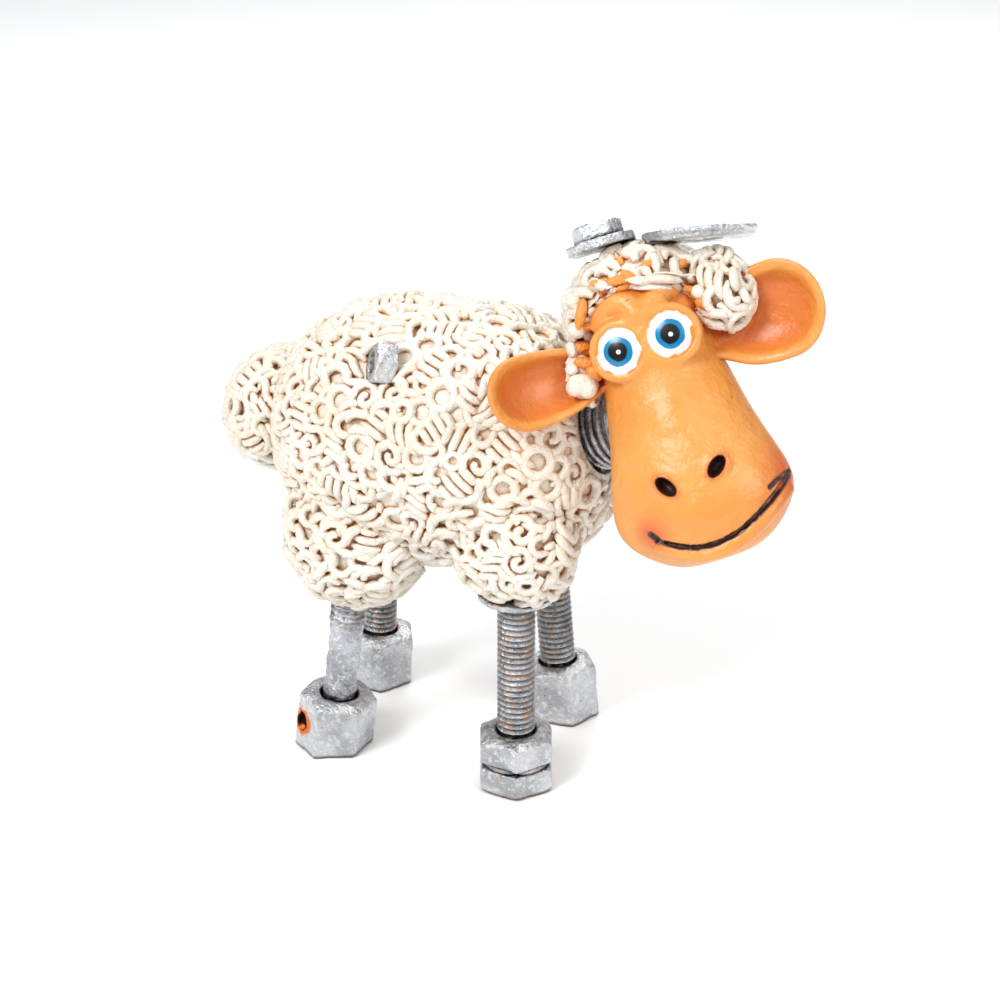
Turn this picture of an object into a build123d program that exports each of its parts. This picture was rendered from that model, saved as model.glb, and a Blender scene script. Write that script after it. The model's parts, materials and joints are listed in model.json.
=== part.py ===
from build123d import *
from math import asin, cos, pi, sin, sqrt
import os

os.makedirs("parts", exist_ok=True)

# A sheep figurine that faces +X and stands on z = 0, in millimetres.
# Its right side is at -Y. The head is carried on a coil spring and looks over the right shoulder.

# Where the middle of the stance lies from the origin
stand_x = -16.0
stand_y = 2.5

# Body barrel, a rounded solid of revolution along X
body_length = 72.0
body_diameter = 53.0
body_axis_height = 72.0
body_middle_x = 2.0
body_squareness = 2.6
body_front_x = body_middle_x + body_length / 2
body_rear_x = body_middle_x - body_length / 2
body_underside_z = body_axis_height - body_diameter / 2

# Feet: how far each stands in from the body's end and from its flank
front_right_end_inset = 15.8
front_right_flank_inset = 10.9
front_left_end_inset = 16.6
front_left_flank_inset = 9.5
rear_right_end_inset = 12.8
rear_right_flank_inset = 12.5
rear_left_end_inset = 10.0
rear_left_flank_inset = 9.5
lump_squareness = 2.0
lump_outline_steps = 12
pole_flat_share = 0.08

# Curls of wool on the body, each half sunk in the barrel
curl_pitch = 8.8
curl_span = 6.8
strand_diameter = 1.7
strand_sink = 0.1
ladder_pitch = 1.95
arch_radius = 4.2
arch_pitch = 2.3
arch_sweep_angle = 70.0
curl_clearance = 4.6
curl_head_clearance = 9.0
curl_outline_steps = 400
curl_turn_angle = 67.0
curl_row_turn_angle = 41.0

# Tail tuft
tail_width = 30.0
tail_girth = 24.0
tail_overhang = 2.0
tail_lift = 0.5

# Wool lumps at the tops of the legs
front_wool_girth = 25.0
front_wool_width = 19.0
front_wool_lift = 11.0
rear_wool_girth = 30.0
rear_wool_width = 21.0
rear_wool_lift = 7.0
wool_outward = 1.5

# Threaded rods, the legs
rod_diameter = 8.0
thread_pitch = 1.3
thread_depth = 0.5
rod_sunk_length = 8.5
rod_top_z = body_underside_z + rod_sunk_length
rod_root_z = 2.5
rod_plain_top_z = 31.0
rod_chamfer = 0.8
front_right_lean_angle = 0.0
rear_right_lean_angle = 8.0
front_left_lean_angle = -5.0
rear_left_lean_angle = 3.0
front_right_hoof_turn_angle = -9.0
front_left_hoof_turn_angle = 6.0
rear_right_hoof_turn_angle = 24.0
rear_left_hoof_turn_angle = -4.0
fit_gap = 0.05
seat_gap = 0.1

# Hooves: the front right one is a bolt head, a lock washer and a nut
hoof_flats = 15.0
hoof_height = 13.0
bolt_head_height = 5.6
lock_washer_thickness = 1.2
lock_washer_diameter = 14.4
lock_washer_slit = 1.0
lock_washer_slit_turn = -60.0
hoof_bevel = 2.4
hoof_foot_bevel = 1.2
leg_washer_diameter = 16.0
leg_washer_thickness = 1.2
leg_washer_sink = 0.2

# Small hex nut on the flank
side_nut_flats = 8.0
side_nut_height = 4.4
side_nut_bore = 4.6
side_nut_bevel = 1.0
side_nut_x = -3.6
side_nut_sink = 0.16
side_nut_round_angle = 48.1
side_nut_turn_angle = -145.0
side_nut_pitch_angle = 74.0

# Neck spring and its two seats
neck_end_inset = 4.0
neck_y = -2.0
neck_lift = 6.3
neck_turn_angle = -22.0
neck_rise_angle = 20.5
neck_reach = 22.0
spring_length = 11.5
spring_outer = 18.0
wire_diameter = 1.4
spring_turns = 4.5
biarcs_per_turn = 4
gap_samples_per_turn = 60
seat_thickness = 2.0
seat_overhang = 0.3
shank_diameter = 8.0
shank_length = 6.0
lug_length = 1.6
pocket_gap = 0.6

# Head casting in its own frame: +X to the viewer's right, -Y forward, +Z to the crown
head_turn_angle = 9.5
head_pitch_angle = -20.0
head_roll_angle = -22.5
head_height = 59.0
head_width = 36.0
head_depth = 27.0
head_chin_z = -28.0
head_crown_z = head_chin_z + head_height
neck_boss_diameter = 16.5
neck_boss_length = 6.0

# Eyes
eye_diameter = 9.6
eye_spacing = 10.1
eye_drop = 16.0
eye_sink = 2.311

# Nostrils and mouth
nostril_spacing = 10.8
nostril_rise = 15.6
nostril_width = 2.6
nostril_height = 4.6
nostril_depth = 3.0
nostril_splay_angle = 26.0
mouth_width = 29.0
mouth_drop = 7.0
mouth_end_rise = 11.0
mouth_gap = 1.2
mouth_depth = 1.6

# Ears
right_ear_length = 29.0
right_ear_height = 14.5
left_ear_length = 26.0
left_ear_height = 18.5
ear_wall = 2.2
ear_dish_radius = 22.0
ear_back = 2.0
ear_drop = 17.8
ear_root_sink = 2.6
right_ear_forward_angle = 30.0
left_ear_forward_angle = 6.0

# Wool on the head
cap_girth = 30.5
cap_height = 26.0
cap_drop = 9.5
cap_y = 1.5
hairline_drop = 2.5
hairline_slope_angle = 48.0
cheek_tuft_girth = 8.0
cheek_tuft_height = 13.0
cheek_tuft_out = 2.54
cheek_tuft_drop = 18.0
side_tuft_girth = 13.0
side_tuft_height = 16.0
side_tuft_out = 4.722
side_tuft_drop = 10.5
cheek_tuft_forward = 4.2
side_tuft_forward = 3.0

# Hardware on the crown
crown_washer_diameter = 22.5
crown_washer_hole = 9.0
crown_washer_thickness = 2.0
crown_washer_x = 15.2
crown_washer_lift = 0.0
crown_washer_tilt_angle = 14.0
crown_flange_diameter = 13.8
crown_flange_thickness = 1.8
crown_flange_x = -3.4
crown_flange_lift = 4.6
crown_flange_tilt_angle = 2.0
crown_bolt_flats = 9.0
crown_bolt_height = 3.4
crown_bolt_bevel = 1.2

# One overrun for every cut
overrun = 5.0

stand = Pos(stand_x, stand_y, 0)
neck_foot = stand * Pos(body_front_x - neck_end_inset, neck_y, body_axis_height + neck_lift)
neck_place = neck_foot * Rot(0, 0, neck_turn_angle) * Rot(0, 90.0 - neck_rise_angle, 0)
head_centre = (neck_place * Pos(0, 0, neck_reach)).position
head_facing = Rot(0, 0, head_turn_angle) * Rot(head_pitch_angle, 0, 0) * Rot(0, head_roll_angle, 0)
head_place = Pos(*head_centre) * head_facing


def lump(length, girth, squareness):
    # A rounded lump, round about Z with its length along Z, and a small flat at each end
    first = asin(pole_flat_share)
    points = []
    for step in range(lump_outline_steps + 1):
        angle = first + (pi - 2 * first) * step / lump_outline_steps
        along = abs(cos(angle)) ** (2 / squareness) * (1 if angle < pi / 2 else -1)
        out = sin(angle) ** (2 / squareness)
        points.append((girth / 2 * out, length / 2 * along))
    outline = Spline(*points) + Polyline(points[-1], (0, points[-1][1]), (0, points[0][1]), points[0])
    return revolve(make_face(Plane.XZ * outline), Axis.Z)


def rising_cylinder(radius, height):
    return Cylinder(radius, height, align=(Align.CENTER, Align.CENTER, Align.MIN))


def hanging_cylinder(radius, height):
    return Cylinder(radius, height, align=(Align.CENTER, Align.CENTER, Align.MAX))


def rod_place(x, y, lean):
    return stand * Pos(x, y, 0) * Rot(0, lean, 0)


def hex_nut(flats, height, bevel=0.0, foot_bevel=0.0):
    corners = flats / cos(pi / 6)
    blank = extrude(RegularPolygon(corners / 2, 6), height)
    for depth, edge_z, way in ((bevel, height, 1), (foot_bevel, 0.0, -1)):
        if depth:
            wall = corners / 2 + overrun
            wedge = Polyline(
                (corners / 2 - depth, edge_z),
                (corners / 2, edge_z - way * depth / 2),
                (wall, edge_z - way * (depth + overrun) / 2),
                (wall, edge_z + way * overrun),
                (corners / 2 - depth, edge_z + way * overrun),
                close=True,
            )
            blank -= revolve(make_face(Plane.XZ * wedge), Axis.Z)
    return blank


def washer(diameter, hole, thickness):
    return extrude(Circle(diameter / 2) - Circle(hole / 2), thickness)


def threaded_rod(bottom_z, thread_start_z, top_z):
    crest = rod_diameter / 2
    root = crest - thread_depth
    count = int((top_z - rod_chamfer - thread_start_z) / thread_pitch)
    points = [(0, bottom_z), (root, bottom_z), (root, thread_start_z)]
    for ridge in range(count):
        foot = thread_start_z + ridge * thread_pitch
        points.append((crest, foot + thread_pitch / 2))
        points.append((root, foot + thread_pitch))
    points.append((root, top_z - rod_chamfer))
    points.append((root - rod_chamfer, top_z))
    points.append((0, top_z))
    return revolve(make_face(Plane.XZ * Polyline(*points, close=True)), Axis.Z)


def body_barrel():
    barrel = lump(body_length, body_diameter, body_squareness)
    return stand * Pos(body_middle_x, 0, body_axis_height) * Rot(0, 90.0, 0) * barrel


def barrel_outline(angle):
    # Along the body's length from its middle, and out from its axis
    along = abs(cos(angle)) ** (2 / body_squareness) * (1 if angle < pi / 2 else -1)
    out = sin(angle) ** (2 / body_squareness)
    return Vector(body_length / 2 * along, body_diameter / 2 * out)


def curl_rows():
    # Rows from the chest to the rump: a point of the outline and its direction there
    rows = []
    walked = curl_pitch / 2
    last = barrel_outline(0)
    for step in range(1, curl_outline_steps):
        point = barrel_outline(pi * step / curl_outline_steps)
        walked += (point - last).length
        if walked >= curl_pitch:
            rows.append((last, (point - last).normalized()))
            walked = 0
        last = point
    return rows


def row_places(row, point, direction):
    # The curls of one row: where each lies, and its kind
    count = max(1, int(2 * pi * point.Y / curl_pitch))
    places = []
    for step in range(count):
        around = 2 * pi * (step + row % 2 / 2) / count
        out = Vector(0, cos(around), sin(around))
        across = Vector(0, -sin(around), cos(around))
        spot = Vector(body_middle_x + point.X, 0, body_axis_height) + out * point.Y
        facing = out * -direction.X + Vector(direction.Y, 0, 0)
        turn = step * curl_turn_angle + row * curl_row_turn_angle
        place = stand * Location(Plane(origin=spot, x_dir=across, z_dir=facing))
        places.append((place * Pos(0, 0, -strand_sink) * Rot(0, 0, turn), (row + 2 * step) % 5))
    return places


def bent_strand(radius, sweep_angle):
    # A strand bent round Z, with its seam on the underside
    section = Plane.XZ * Pos(radius, 0) * Rot(0, 0, -90.0) * Circle(strand_diameter / 2)
    return revolve(section, Axis.Z, revolution_arc=sweep_angle)


def ring_curl():
    return [bent_strand((curl_span - strand_diameter) / 2, 360.0)]


def arch_curl():
    arches = []
    for step in (-1, 0, 1):
        arch = bent_strand(arch_radius, arch_sweep_angle)
        place = Pos(0, step * arch_pitch - arch_radius, 0) * Rot(0, 0, 90.0 - arch_sweep_angle / 2)
        arches.append(place * arch)
    return arches


def ladder_curl():
    rungs = []
    for step in (-1.5, -0.5, 0.5, 1.5):
        length = curl_span - abs(step) * strand_diameter
        rung = Rot(0, 90.0, 0) * Cylinder(strand_diameter / 2, length)
        rungs.append(Pos(0, step * ladder_pitch, 0) * rung)
    return rungs


def tail_lump():
    place = stand * Pos(body_rear_x - tail_overhang, 0, body_axis_height + tail_lift)
    return place * Rot(90.0, 0, 0) * Rot(0, 0, 180.0) * lump(tail_width, tail_girth, lump_squareness)


flank = body_diameter / 2
front_right_x = body_front_x - front_right_end_inset
front_right_y = front_right_flank_inset - flank
front_left_x = body_front_x - front_left_end_inset
front_left_y = flank - front_left_flank_inset
rear_right_x = body_rear_x + rear_right_end_inset
rear_right_y = rear_right_flank_inset - flank
rear_left_x = body_rear_x + rear_left_end_inset
rear_left_y = flank - rear_left_flank_inset
front_wool_z = body_underside_z + front_wool_lift
rear_wool_z = body_underside_z + rear_wool_lift
leg_washer_z = front_wool_z - front_wool_girth / 2 + leg_washer_sink

# Each leg: name, foot place, lean, turn of the hoof about the leg
leg_table = [
    ("front_right", front_right_x, front_right_y, front_right_lean_angle, front_right_hoof_turn_angle),
    ("front_left", front_left_x, front_left_y, front_left_lean_angle, front_left_hoof_turn_angle),
    ("rear_right", rear_right_x, rear_right_y, rear_right_lean_angle, rear_right_hoof_turn_angle),
    ("rear_left", rear_left_x, rear_left_y, rear_left_lean_angle, rear_left_hoof_turn_angle),
]


def leg_wool(name, x, y, lean):
    front = name.startswith("front")
    girth = front_wool_girth if front else rear_wool_girth
    width = front_wool_width if front else rear_wool_width
    middle = front_wool_z if front else rear_wool_z
    outward = wool_outward if y > 0 else -wool_outward
    wool = Rot(90.0, 0, 0) * lump(width, girth, lump_squareness)
    return rod_place(x, y, lean) * Pos(0, outward, middle) * wool


def rod_bore(x, y, lean):
    return rod_place(x, y, lean) * rising_cylinder(rod_diameter / 2 + fit_gap, rod_top_z + fit_gap)


# Neck frame: z = 0 on the lower seat, +Z along the spring to the head
spring_radius = (spring_outer - wire_diameter) / 2
spring_rise = spring_length - 2 * seat_gap - wire_diameter
seat_radius = spring_outer / 2 + seat_overhang


def helix_point(turn):
    height = seat_gap + wire_diameter / 2 + spring_rise * turn / spring_turns
    return Vector(spring_radius * cos(2 * pi * turn), spring_radius * sin(2 * pi * turn), height)


def helix_direction(turn):
    around = 2 * pi * spring_radius
    rise = spring_rise / spring_turns
    return Vector(-around * sin(2 * pi * turn), around * cos(2 * pi * turn), rise).normalized()


def biarc(start, start_direction, end, end_direction):
    chord = end - start
    lean = chord.dot(start_direction + end_direction)
    spread = 2 * (1 - start_direction.dot(end_direction))
    reach = (-lean + sqrt(lean * lean + spread * chord.dot(chord))) / spread
    first_knee = start + start_direction * reach
    second_knee = end - end_direction * reach
    joint = (first_knee + second_knee) / 2
    return [
        TangentArc(start, joint, tangent=start_direction),
        TangentArc(joint, end, tangent=(second_knee - first_knee).normalized()),
    ]


def neck_spring_wire():
    first = helix_point(0)
    last = helix_point(spring_turns)
    edges = [Line(first - helix_direction(0) * wire_diameter, first)]
    count = int(spring_turns * biarcs_per_turn)
    for step in range(count):
        here = step / biarcs_per_turn
        there = (step + 1) / biarcs_per_turn
        edges += biarc(helix_point(here), helix_direction(here), helix_point(there), helix_direction(there))
    edges.append(Line(last, last + helix_direction(spring_turns) * wire_diameter))
    path = Wire(edges)
    start = Plane(origin=path @ 0, z_dir=path % 0)
    return sweep(start * Circle(wire_diameter / 2), path=path)


def spring_gap():
    samples = int(spring_turns * gap_samples_per_turn)
    points = [helix_point(spring_turns * step / samples) for step in range(samples + 1)]
    half_turn = int(samples / spring_turns / 2)
    gaps = [
        (points[i] - points[j]).length - wire_diameter
        for i in range(len(points))
        for j in range(i + half_turn, len(points))
    ]
    return min(gaps)


def wire_lug(turn, way):
    end = helix_point(turn) + helix_direction(turn) * (way * wire_diameter)
    face = Plane(origin=end, x_dir=(end.X, end.Y, 0), z_dir=helix_direction(turn) * way)
    block = Box(wire_diameter, 2 * wire_diameter, lug_length, align=(Align.CENTER, Align.CENTER, Align.MIN))
    return face * block


def spring_seat_disc():
    back = Pos(0, 0, -seat_thickness)
    disc = hanging_cylinder(seat_radius, seat_thickness)
    shank = back * hanging_cylinder(shank_diameter / 2, shank_length)
    above = back * rising_cylinder(seat_radius, seat_thickness + seat_gap + wire_diameter)
    return disc + shank + (wire_lug(0, -1) & above)


def spring_plug_disc():
    back = Pos(0, 0, spring_length + seat_thickness)
    disc = Pos(0, 0, spring_length) * rising_cylinder(seat_radius, seat_thickness)
    shank = back * rising_cylinder(shank_diameter / 2, shank_length)
    below = back * hanging_cylinder(seat_radius, seat_thickness + seat_gap + wire_diameter)
    return disc + shank + (wire_lug(spring_turns, 1) & below)


def neck_pocket():
    back = Pos(0, 0, -seat_thickness)
    pocket = back * rising_cylinder(seat_radius + pocket_gap, spring_length + overrun)
    bore = back * hanging_cylinder(shank_diameter / 2 + fit_gap, shank_length + fit_gap)
    return pocket + bore


# Head sections from chin to crown: height, width, depth and forward shift, as shares of the head's sizes
head_section_shares = [
    (0.0, 0.36, 0.34, 0.27),
    (0.03, 0.56, 0.52, 0.26),
    (0.09, 0.79, 0.72, 0.24),
    (0.19, 1.0, 0.90, 0.20),
    (0.31, 0.94, 0.96, 0.15),
    (0.45, 0.79, 0.93, 0.09),
    (0.60, 0.67, 0.90, 0.02),
    (0.77, 0.66, 0.93, -0.01),
    (0.91, 0.57, 0.82, -0.01),
    (1.0, 0.30, 0.44, -0.02),
]


def head_loft(inset):
    sections = []
    for height_share, width_share, depth_share, forward_share in head_section_shares:
        half_width = head_width * width_share / 2 - inset
        half_depth = head_depth * depth_share / 2 - inset
        middle = Plane(origin=(0, -head_depth * forward_share, head_chin_z + head_height * height_share))
        sections.append(middle * Ellipse(half_width, half_depth))
    return loft(sections)


def head_side_at(z):
    share = (z - head_chin_z) / head_height
    for low, high in zip(head_section_shares, head_section_shares[1:]):
        if low[0] <= share <= high[0]:
            part = (share - low[0]) / (high[0] - low[0])
            return [a + (b - a) * part for a, b in zip(low, high)]
    return head_section_shares[-1]


def head_front_y(x, z):
    shares = head_side_at(z)
    across = x / (head_width * shares[1] / 2)
    return -head_depth * shares[3] - head_depth * shares[2] / 2 * sqrt(1 - across * across)


def eye_places():
    z = head_crown_z - eye_drop
    y = head_front_y(eye_spacing / 2, z) + eye_sink
    return [Pos(side * eye_spacing / 2, y, z) * Rot(0, 0, 90.0) for side in (-1, 1)]


def nostril_cuts():
    cuts = []
    z = head_chin_z + nostril_rise
    for side in (-1, 1):
        x = side * nostril_spacing / 2
        place = Pos(x, head_front_y(x, z), z) * Rot(0, side * nostril_splay_angle, 0)
        opening = Plane.XZ * Ellipse(nostril_width / 2, nostril_height / 2)
        cuts.append(place * extrude(opening, nostril_depth, both=True))
    return cuts


def mouth_cut():
    radius = (mouth_width * mouth_width / 4 + mouth_drop * mouth_drop) / (2 * mouth_drop)
    ring = Circle(radius + mouth_gap / 2) - Circle(radius - mouth_gap / 2)
    mouth_end_z = head_chin_z + mouth_end_rise
    band = extrude(Plane.XZ * Pos(0, mouth_end_z - mouth_drop + radius) * ring, head_depth)
    hanging = (Align.CENTER, Align.MAX, Align.MAX)
    below = Box(head_width + overrun, head_depth + overrun, 2 * mouth_drop, align=hanging)
    return (band & Pos(0, 0, mouth_end_z) * below) - head_loft(mouth_depth)


# Places of the neck as seen from the head's own frame
neck_in_head = head_place.inverse() * neck_place


def neck_boss():
    foot = Pos(0, 0, spring_length + seat_thickness)
    return neck_in_head * foot * rising_cylinder(neck_boss_diameter / 2, neck_boss_length)


def plug_bore():
    foot = Pos(0, 0, spring_length + seat_thickness)
    bore = foot * rising_cylinder(shank_diameter / 2 + fit_gap, shank_length + fit_gap)
    clear = foot * hanging_cylinder(seat_radius + fit_gap, spring_length)
    return neck_in_head * (bore + clear)


def head_casting():
    head = head_loft(0) + neck_boss() - plug_bore()
    for place in eye_places():
        head -= place * Sphere(eye_diameter / 2 + fit_gap)
    for cut in nostril_cuts():
        head -= cut
    return head - mouth_cut()


def head_half_width(z):
    return head_width * head_side_at(z)[1] / 2


def ear(side, length, height, forward):
    z = head_crown_z - ear_drop
    root = Pos(side * (head_half_width(z) - ear_root_sink), 0, z)
    place = root * Rot(0, 0, -side * forward) * Pos(side * length / 2, 0, 0)
    leaf = extrude(Plane.XZ * Ellipse(length / 2, height / 2), ear_dish_radius, both=True)
    dish = Sphere(ear_dish_radius) - Sphere(ear_dish_radius - ear_wall)
    behind = Box(2 * length, ear_dish_radius, 2 * height, align=(Align.CENTER, Align.MIN, Align.CENTER))
    return place * Pos(0, -ear_dish_radius + ear_back, 0) * (leaf & dish & behind)


def above_hairline():
    rising = (Align.CENTER, Align.CENTER, Align.MIN)
    slab = Box(2 * head_width, 4 * head_depth, head_height, align=rising)
    edge = Pos(0, -head_depth / 2, head_crown_z - hairline_drop)
    return edge * Rot(-hairline_slope_angle, 0, 0) * slab


def wool_cap_lump():
    place = Pos(0, cap_y, head_crown_z - cap_drop)
    return (place * lump(cap_height, cap_girth, lump_squareness)) & above_hairline()


def cheek_tuft_lump():
    z = head_crown_z - cheek_tuft_drop
    place = Pos(-head_half_width(z) - cheek_tuft_out, -cheek_tuft_forward, z)
    return place * lump(cheek_tuft_height, cheek_tuft_girth, lump_squareness)


def side_tuft_lump():
    z = head_crown_z - side_tuft_drop
    place = Pos(head_half_width(z) + side_tuft_out, -side_tuft_forward, z)
    return place * lump(side_tuft_height, side_tuft_girth, lump_squareness)


def crown_washer_pair():
    middle = Pos(crown_washer_x, 0, head_crown_z + crown_washer_lift)
    place = middle * Rot(0, crown_washer_tilt_angle, 0)
    layer = crown_washer_thickness / 2
    lower = washer(crown_washer_diameter - layer, crown_washer_hole, layer)
    upper = washer(crown_washer_diameter, crown_washer_hole, layer)
    return place * (lower + Pos(0, 0, layer) * upper)


nut_out = body_diameter / 2 - side_nut_sink
nut_y = -nut_out * cos(side_nut_round_angle * pi / 180)
nut_z = body_axis_height + nut_out * sin(side_nut_round_angle * pi / 180)
nut_facing = Rot(0, 0, side_nut_turn_angle) * Rot(0, side_nut_pitch_angle, 0)
side_nut_place = stand * Pos(side_nut_x, nut_y, nut_z) * nut_facing


def side_nut_piece():
    nut = hex_nut(side_nut_flats, side_nut_height, side_nut_bevel)
    return side_nut_place * (nut - Cylinder(side_nut_bore / 2, 2 * side_nut_height + overrun))


def side_nut_pocket():
    corners = side_nut_flats / cos(pi / 6) + 2 * fit_gap
    return side_nut_place * extrude(RegularPolygon(corners / 2, 6), side_nut_height + overrun)


def front_right_stack(place):
    bore = rising_cylinder(rod_diameter / 2 + fit_gap, rod_top_z)
    head = hex_nut(hoof_flats, bolt_head_height, foot_bevel=hoof_foot_bevel)
    lock = washer(lock_washer_diameter, rod_diameter + 2 * fit_gap, lock_washer_thickness)
    outside = Rot(0, 0, lock_washer_slit_turn) * Pos(hoof_flats / 2, 0, 0)
    slit = outside * Box(hoof_flats, lock_washer_slit, hoof_height)
    nut_height = hoof_height - bolt_head_height - lock_washer_thickness
    nut = hex_nut(hoof_flats, nut_height, hoof_bevel)
    return {
        "front_right_bolt_head": place * (head - Pos(0, 0, rod_root_z) * bore),
        "front_right_lock_washer": place * Pos(0, 0, bolt_head_height) * (lock - slit),
        "front_right_nut": place * Pos(0, 0, bolt_head_height + lock_washer_thickness) * (nut - bore),
    }


def tall_hoof(place, turn):
    # The blank runs below the ground by the overrun, so that a leaning hoof is cut flat to stand on
    foot = extrude(RegularPolygon(hoof_flats / cos(pi / 6) / 2, 6), -overrun)
    hoof = hex_nut(hoof_flats, hoof_height, hoof_bevel) + foot
    bore = Pos(0, 0, rod_root_z) * rising_cylinder(rod_diameter / 2 + fit_gap, rod_top_z)
    ground = Pos(0, 0, rod_top_z / 2) * Box(2 * body_length, 2 * body_length, rod_top_z)
    return (place * Rot(0, 0, turn) * (hoof - bore)) & (stand * ground)


def lies_free(place, pieces, clearance):
    spot = place.position
    return all(not piece.is_inside(spot) and Vertex(*spot).distance_to(piece) > clearance for piece in pieces)


def curled(barrel, keep_clear, head_lumps):
    # The barrel with its curls, fused on row by row, wherever a curl lies free
    makers = (ladder_curl, ring_curl, ladder_curl, arch_curl, ring_curl)
    body = barrel
    for row, (point, direction) in enumerate(curl_rows()):
        strands = []
        for place, kind in row_places(row, point, direction):
            clear_of_body = lies_free(place, keep_clear, curl_clearance)
            if clear_of_body and lies_free(place, head_lumps, curl_head_clearance):
                strands += [place * strand for strand in makers[kind]()]
        if strands:
            body += strands
    return body


# Body casting with its wool, bored for what it carries
pieces = {}
barrel = body_barrel()
pocket = neck_place * neck_pocket()
side_nut_seat = side_nut_pocket()
leg_wools = [leg_wool(name, x, y, lean) for name, x, y, lean, hoof_turn in leg_table]
head_lumps = [head_place * head_loft(0), head_place * cheek_tuft_lump(), head_place * side_tuft_lump()]
body = curled(barrel, [pocket, side_nut_seat, tail_lump(), *leg_wools], head_lumps)
body = body - pocket - side_nut_seat
pieces["tail_tuft"] = tail_lump() - barrel
pieces["side_nut"] = side_nut_piece()

# Legs
for (name, x, y, lean, hoof_turn), wool in zip(leg_table, leg_wools):
    place = rod_place(x, y, lean)
    bore = rod_bore(x, y, lean)
    body -= bore
    wool = wool - barrel - bore
    thread_start_z = hoof_height
    if name == "front_right":
        room = rising_cylinder(leg_washer_diameter / 2 + fit_gap, leg_washer_thickness + overrun)
        flange = washer(leg_washer_diameter, rod_diameter + 2 * fit_gap, leg_washer_thickness)
        wool -= place * Pos(0, 0, leg_washer_z - overrun) * room
        pieces["front_right_washer"] = place * Pos(0, 0, leg_washer_z) * flange
        pieces.update(front_right_stack(place * Rot(0, 0, hoof_turn)))
    else:
        pieces[f"{name}_hoof"] = tall_hoof(place, hoof_turn)
    if name == "rear_right":
        thread_start_z = rod_plain_top_z
    pieces[f"{name}_leg_wool"] = wool
    pieces[f"{name}_rod"] = place * threaded_rod(rod_root_z, thread_start_z, rod_top_z)
pieces["fleece_body"] = body

# Neck
pieces["spring_seat"] = neck_place * spring_seat_disc()
pieces["neck_spring"] = neck_place * neck_spring_wire()
pieces["spring_plug"] = neck_place * spring_plug_disc()

# Head, built in its own frame, where each piece is cut by what it lies on
casting = head_casting()
solid_head = head_loft(0) + neck_boss()
flange_spot = Pos(crown_flange_x, 0, head_crown_z + crown_flange_lift)
flange_place = flange_spot * Rot(0, crown_flange_tilt_angle, 0)
flange = flange_place * extrude(Circle(crown_flange_diameter / 2), crown_flange_thickness)
bolt = hex_nut(crown_bolt_flats, crown_bolt_height, crown_bolt_bevel)
bolt = flange_place * Pos(0, 0, crown_flange_thickness) * bolt
crown_rings = crown_washer_pair()
right_ear = ear(-1, right_ear_length, right_ear_height, right_ear_forward_angle) - solid_head
left_ear = ear(1, left_ear_length, left_ear_height, left_ear_forward_angle) - solid_head
eyes = [place * Sphere(eye_diameter / 2) for place in eye_places()]
cap = wool_cap_lump() - solid_head - right_ear - left_ear - flange - bolt - crown_rings
cheek = cheek_tuft_lump() - solid_head - right_ear - cap
side = side_tuft_lump() - solid_head - left_ear - cap - crown_rings
head_pieces = {
    "head": casting,
    "right_ear": right_ear,
    "left_ear": left_ear,
    "right_eye": eyes[0],
    "left_eye": eyes[1],
    "wool_cap": cap,
    "cheek_tuft": cheek,
    "side_tuft": side,
    "crown_washer": crown_rings,
    "crown_flange": flange,
    "crown_bolt": bolt,
}
for name, piece in head_pieces.items():
    pieces[name] = head_place * piece

for name, piece in pieces.items():
    piece.label = name
    export_step(piece, f"parts/{name}.step")

boxes = [piece.bounding_box() for piece in pieces.values()]
low = [round(min(tuple(box.min)[axis] for box in boxes), 2) for axis in range(3)]
high = [round(max(tuple(box.max)[axis] for box in boxes), 2) for axis in range(3)]
spring_middle = (neck_place * Pos(0, 0, spring_length / 2)).position
print("low corner", low, "high corner", high)
print("least gap between the spring's turns", round(spring_gap(), 2))
print("spring's foot", neck_place.position, "middle", spring_middle, "head centre", head_centre)
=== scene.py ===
import json
import math
import random

import bpy
import numpy as np
from mathutils import Matrix, Vector, noise
from mathutils.bvhtree import BVHTree


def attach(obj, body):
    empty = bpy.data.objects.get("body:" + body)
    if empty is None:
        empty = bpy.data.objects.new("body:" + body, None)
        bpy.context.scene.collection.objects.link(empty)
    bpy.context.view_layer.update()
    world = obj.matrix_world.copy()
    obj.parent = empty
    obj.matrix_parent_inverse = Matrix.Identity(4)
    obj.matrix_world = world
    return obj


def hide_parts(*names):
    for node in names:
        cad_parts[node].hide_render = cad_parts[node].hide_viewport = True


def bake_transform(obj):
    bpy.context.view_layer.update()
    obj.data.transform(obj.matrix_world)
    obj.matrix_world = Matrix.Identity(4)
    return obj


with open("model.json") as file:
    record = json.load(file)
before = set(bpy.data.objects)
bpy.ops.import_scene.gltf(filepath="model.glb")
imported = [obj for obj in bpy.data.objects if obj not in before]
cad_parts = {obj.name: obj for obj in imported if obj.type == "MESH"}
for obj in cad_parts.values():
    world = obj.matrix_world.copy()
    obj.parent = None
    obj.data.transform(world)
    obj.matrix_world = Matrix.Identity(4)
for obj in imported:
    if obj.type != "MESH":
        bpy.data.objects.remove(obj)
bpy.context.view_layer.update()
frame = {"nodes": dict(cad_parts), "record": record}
bpy.ops.object.select_all(action="DESELECT")

# Studio: a matt white table top, a big soft window on the left and front, and a weaker one behind.
# The camera stands in front of the figurine's right side, a little above it.
bpy.ops.mesh.primitive_plane_add(size=6.0, location=(0, 0, 0))
table_top = bpy.context.object
table_top.name = "table_top"
table_white = bpy.data.materials.new("table_white")
table_white.use_nodes = True
table_white.node_tree.nodes["Principled BSDF"].inputs["Base Color"].default_value = (0.93, 0.93, 0.93, 1)
table_white.node_tree.nodes["Principled BSDF"].inputs["Roughness"].default_value = 0.9
table_top.data.materials.append(table_white)

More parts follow.
